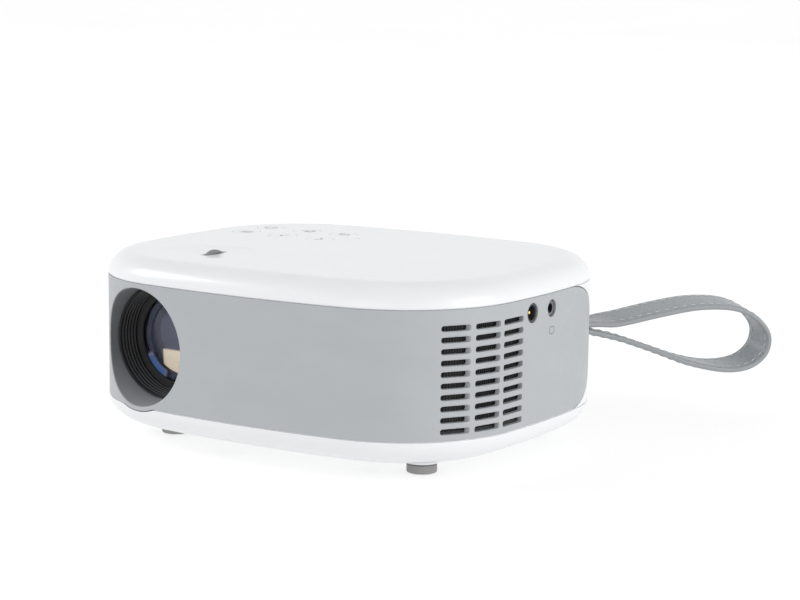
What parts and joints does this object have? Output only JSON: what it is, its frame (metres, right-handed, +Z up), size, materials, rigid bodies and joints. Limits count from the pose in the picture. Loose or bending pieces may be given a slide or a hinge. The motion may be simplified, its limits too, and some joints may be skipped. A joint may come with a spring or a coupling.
{
  "type": "home projector",
  "caption": "Compact home projector: white shells round a grey vented band, recessed focusing lens, top keys, feet and a leather hand strap.",
  "frame": {"origin": "middle of the overall footprint, strap included, on the plane of the feet", "axes": "+Z up, -Y out of the lens, +X to the right seen from the front"},
  "size_m": [0.2292, 0.249, 0.0828],
  "materials": {
    "white_shell": "satin white moulding",
    "grey_band": "fine matte cool grey",
    "black_plastic": "matte black moulding",
    "foot_rubber": "matte grey",
    "strap_leather": "grey grained, stitched",
    "steel": "plated",
    "gold_contact": "gold-coloured plating",
    "aluminium": "extruded",
    "circuit_board": "green solder mask",
    "silicone": "translucent white silicone",
    "clear_plastic": "clear moulding",
    "lens_glass": "coated optical glass",
    "lcd_glass": "dark panel",
    "filter_mesh": "fine dark mesh",
    "speaker_paper": "pressed paper cone"
  },
  "bodies": {
    "chassis": {"top_shell": "white_shell", "bottom_shell": "white_shell", "front_band": "grey_band", "rear_cover": "white_shell", "foot_front_left": "foot_rubber", "foot_front_right": "foot_rubber", "foot_rear_left": "foot_rubber", "foot_rear_right": "foot_rubber", "screw_front_left": "steel", "screw_front_right": "steel", "screw_rear_left": "steel", "screw_rear_right": "steel", "lens_guide": "black_plastic", "key_mat": "silicone", "key_board": "circuit_board", "status_light_pipe": "clear_plastic", "vent_filter_right": "filter_mesh", "vent_filter_left": "filter_mesh", "fan_frame": "black_plastic", "dc_jack": "black_plastic", "dc_jack_pin": "gold_contact", "audio_jack": "black_plastic", "audio_jack_collar": "steel", "hdmi_port": "steel", "usb_port": "steel", "ir_window": "black_plastic", "engine_box": "black_plastic", "engine_lid": "black_plastic", "fresnel_front": "clear_plastic", "lcd_panel": "lcd_glass", "fresnel_rear": "clear_plastic", "heat_glass": "lens_glass", "condenser_lens": "lens_glass", "led_module": "aluminium", "led_heatsink": "aluminium", "main_board": "circuit_board", "speaker_frame": "steel", "speaker_cone": "speaker_paper", "strap_root": "strap_leather", "strap_clamp": "steel", "strap_screw": "steel"},
    "lens": {"lens_barrel": "black_plastic", "lens_front_glass": "lens_glass", "lens_middle_glass": "lens_glass", "lens_rear_glass": "lens_glass", "lens_retainer": "black_plastic", "focus_rack": "black_plastic"},
    "focus": {"focus_wheel": "white_shell", "focus_pinion": "black_plastic", "focus_axle": "steel"},
    "fan": {"fan_rotor": "black_plastic"},
    "menu_key": {"key_menu": "white_shell"},
    "left_key": {"key_left": "white_shell"},
    "right_key": {"key_right": "white_shell"},
    "power_key": {"key_power": "white_shell"},
    "source_key": {"key_source": "white_shell"},
    "back_key": {"key_back": "white_shell"},
    "strap": {"hand_strap": "strap_leather"}
  },
  "joints": [
    {"name": "focus_turn", "type": "hinge", "parent": "chassis", "child": "focus", "pos_m": [-0.05863, -0.08249, 0.0732], "axis": [1, 0, 0], "range_deg": [-35, 35]},
    {"name": "lens_focus", "type": "slide", "parent": "chassis", "child": "lens", "axis": [0, -1, 0], "range_m": [-0.0028, 0.0028]},
    {"name": "fan_spin", "type": "hinge", "parent": "chassis", "child": "fan", "pos_m": [0.04787, -0.0745, 0.0445], "axis": [1, 0, 0], "continuous": true},
    {"name": "menu_press", "type": "slide", "parent": "chassis", "child": "menu_key", "axis": [0, 0, -1], "range_m": [0, 0.0008], "stiffness_N_per_m": 600},
    {"name": "left_press", "type": "slide", "parent": "chassis", "child": "left_key", "axis": [0, 0, -1], "range_m": [0, 0.0008], "stiffness_N_per_m": 600},
    {"name": "right_press", "type": "slide", "parent": "chassis", "child": "right_key", "axis": [0, 0, -1], "range_m": [0, 0.0008], "stiffness_N_per_m": 600},
    {"name": "power_press", "type": "slide", "parent": "chassis", "child": "power_key", "axis": [0, 0, -1], "range_m": [0, 0.0008], "stiffness_N_per_m": 600},
    {"name": "source_press", "type": "slide", "parent": "chassis", "child": "source_key", "axis": [0, 0, -1], "range_m": [0, 0.0008], "stiffness_N_per_m": 600},
    {"name": "back_press", "type": "slide", "parent": "chassis", "child": "back_key", "axis": [0, 0, -1], "range_m": [0, 0.0008], "stiffness_N_per_m": 600},
    {"name": "strap_swing", "type": "hinge", "parent": "chassis", "child": "strap", "pos_m": [0.05736, 0.03329, 0.0445], "axis": [0.866, -0.5, 0], "range_deg": [-75, 80]}
  ],
  "couplings": [
    {"joint": "focus_turn", "follows": "lens_focus", "rad_per_m": -217.39}
  ]
}
